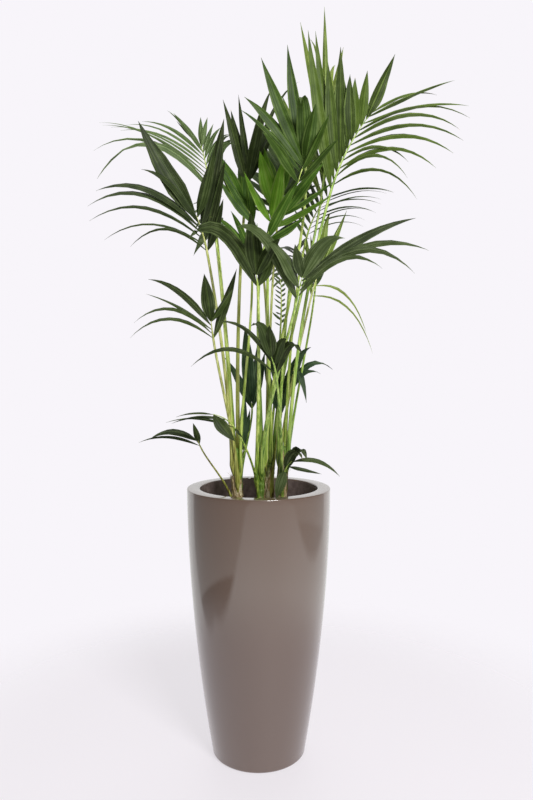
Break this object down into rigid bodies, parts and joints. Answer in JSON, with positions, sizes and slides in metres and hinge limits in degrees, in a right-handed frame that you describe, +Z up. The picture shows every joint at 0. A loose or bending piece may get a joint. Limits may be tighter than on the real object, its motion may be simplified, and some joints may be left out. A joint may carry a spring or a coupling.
{
  "type": "potted kentia palm",
  "caption": "Tall clump of slender palm stems with arching feather fronds, standing in a tall round planter that tapers to its foot.",
  "frame": {"origin": "centre of the planter's flat underside, on the floor it stands on", "axes": "+Z up along the planter's axis, -Y towards the front, +X to the right seen from the front"},
  "size_m": [1.0181, 0.8033, 2.1395],
  "materials": {
    "planter_lacquer": "taupe two-part lacquer, polished to a mirror gloss",
    "potting_mix": "moist dark potting mix with bark chips and fibre",
    "trunk_fibre": "green stem ringed by old leaf bases, with torn brown fibrous sheaths",
    "leaf_stalk": "smooth waxy green leaf stalk, paler at the foot",
    "leaflet_deep": "deep green leaflet, satin, with lengthwise veins",
    "leaflet_bright": "bright green leaflet lit from behind",
    "leaflet_dark": "dark green mature leaflet, satin",
    "leaflet_grey": "grey-green leaflet with its pale underside showing",
    "leaflet_pale": "young yellow-green leaflet",
    "leaflet_shade": "dark bluish-green leaflet in the clump's shade"
  },
  "bodies": {
    "root": {"frond_back_far": "leaflet_deep", "frond_back_left": "leaflet_deep", "frond_back_right": "leaflet_deep", "frond_centre_bright": "leaflet_bright", "frond_centre_front": "leaflet_dark", "frond_centre_high": "leaflet_bright", "frond_centre_left_arch": "leaflet_bright", "frond_centre_left_up": "leaflet_dark", "frond_centre_low_left": "leaflet_bright", "frond_centre_right_rise": "leaflet_bright", "frond_left_back": "leaflet_grey", "frond_left_front": "leaflet_dark", "frond_low_back_left": "leaflet_shade", "frond_low_back_right": "leaflet_shade", "frond_low_back_small": "leaflet_shade", "frond_low_left_arch": "leaflet_dark", "frond_low_left_small": "leaflet_dark", "frond_low_right": "leaflet_dark", "frond_mid_back": "leaflet_grey", "frond_mid_left": "leaflet_dark", "frond_mid_right": "leaflet_dark", "frond_right_back": "leaflet_pale", "frond_right_back_low": "leaflet_deep", "frond_right_front": "leaflet_dark", "frond_right_high": "leaflet_deep", "frond_right_mid_back": "leaflet_deep", "frond_top_back": "leaflet_pale", "planter": "planter_lacquer", "potting_mix": "potting_mix", "stalk_back_far": "leaf_stalk", "stalk_back_left": "leaf_stalk", "stalk_back_right": "leaf_stalk", "stalk_centre_bright": "leaf_stalk", "stalk_centre_front": "leaf_stalk", "stalk_centre_high": "leaf_stalk", "stalk_centre_left_arch": "leaf_stalk", "stalk_centre_left_up": "leaf_stalk", "stalk_centre_low_left": "leaf_stalk", "stalk_centre_right_rise": "leaf_stalk", "stalk_left_back": "leaf_stalk", "stalk_left_front": "leaf_stalk", "stalk_low_back_left": "leaf_stalk", "stalk_low_back_right": "leaf_stalk", "stalk_low_back_small": "leaf_stalk", "stalk_low_left_arch": "leaf_stalk", "stalk_low_left_small": "leaf_stalk", "stalk_low_right": "leaf_stalk", "stalk_mid_back": "leaf_stalk", "stalk_mid_left": "leaf_stalk", "stalk_mid_right": "leaf_stalk", "stalk_right_back": "leaf_stalk", "stalk_right_back_low": "leaf_stalk", "stalk_right_front": "leaf_stalk", "stalk_right_high": "leaf_stalk", "stalk_right_mid_back": "leaf_stalk", "stalk_top_back": "leaf_stalk", "trunk_back": "trunk_fibre", "trunk_centre": "trunk_fibre", "trunk_left": "trunk_fibre", "trunk_right": "trunk_fibre"}
  },
  "joints": []
}
